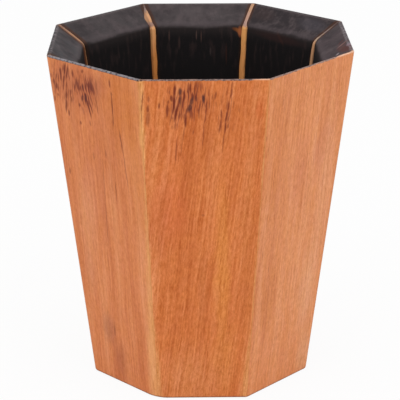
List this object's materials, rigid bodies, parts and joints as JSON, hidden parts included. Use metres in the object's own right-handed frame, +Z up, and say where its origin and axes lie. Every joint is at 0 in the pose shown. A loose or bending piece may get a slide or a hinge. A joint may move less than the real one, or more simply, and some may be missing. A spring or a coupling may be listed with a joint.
{
  "type": "wooden whiskey tumbler",
  "caption": "Octagonal stave-built wooden drinking cup that widens to a bevelled mouth, charred inside, with a base panel held in a groove.",
  "frame": {"origin": "middle of the foot, level with the surface that the cup stands on", "axes": "+Z up along the cup's axis, -Y out of the front stave's face"},
  "size_m": [0.0794, 0.0794, 0.092],
  "materials": {
    "stave_wood": "oiled orange-brown wood outside, charred black inside and on the bevel",
    "base_wood": "charred black on top, bare sanded wood below",
    "cured_glue": "tan cured wood glue, slightly glossy"
  },
  "bodies": {
    "root": {"stave_1": "stave_wood", "stave_2": "stave_wood", "stave_3": "stave_wood", "stave_4": "stave_wood", "stave_5": "stave_wood", "stave_6": "stave_wood", "stave_7": "stave_wood", "stave_8": "stave_wood", "glue_seam_1": "cured_glue", "glue_seam_2": "cured_glue", "glue_seam_3": "cured_glue", "glue_seam_4": "cured_glue", "glue_seam_5": "cured_glue", "glue_seam_6": "cured_glue", "glue_seam_7": "cured_glue", "glue_seam_8": "cured_glue", "base_panel": "base_wood", "base_seal": "cured_glue"}
  },
  "joints": []
}
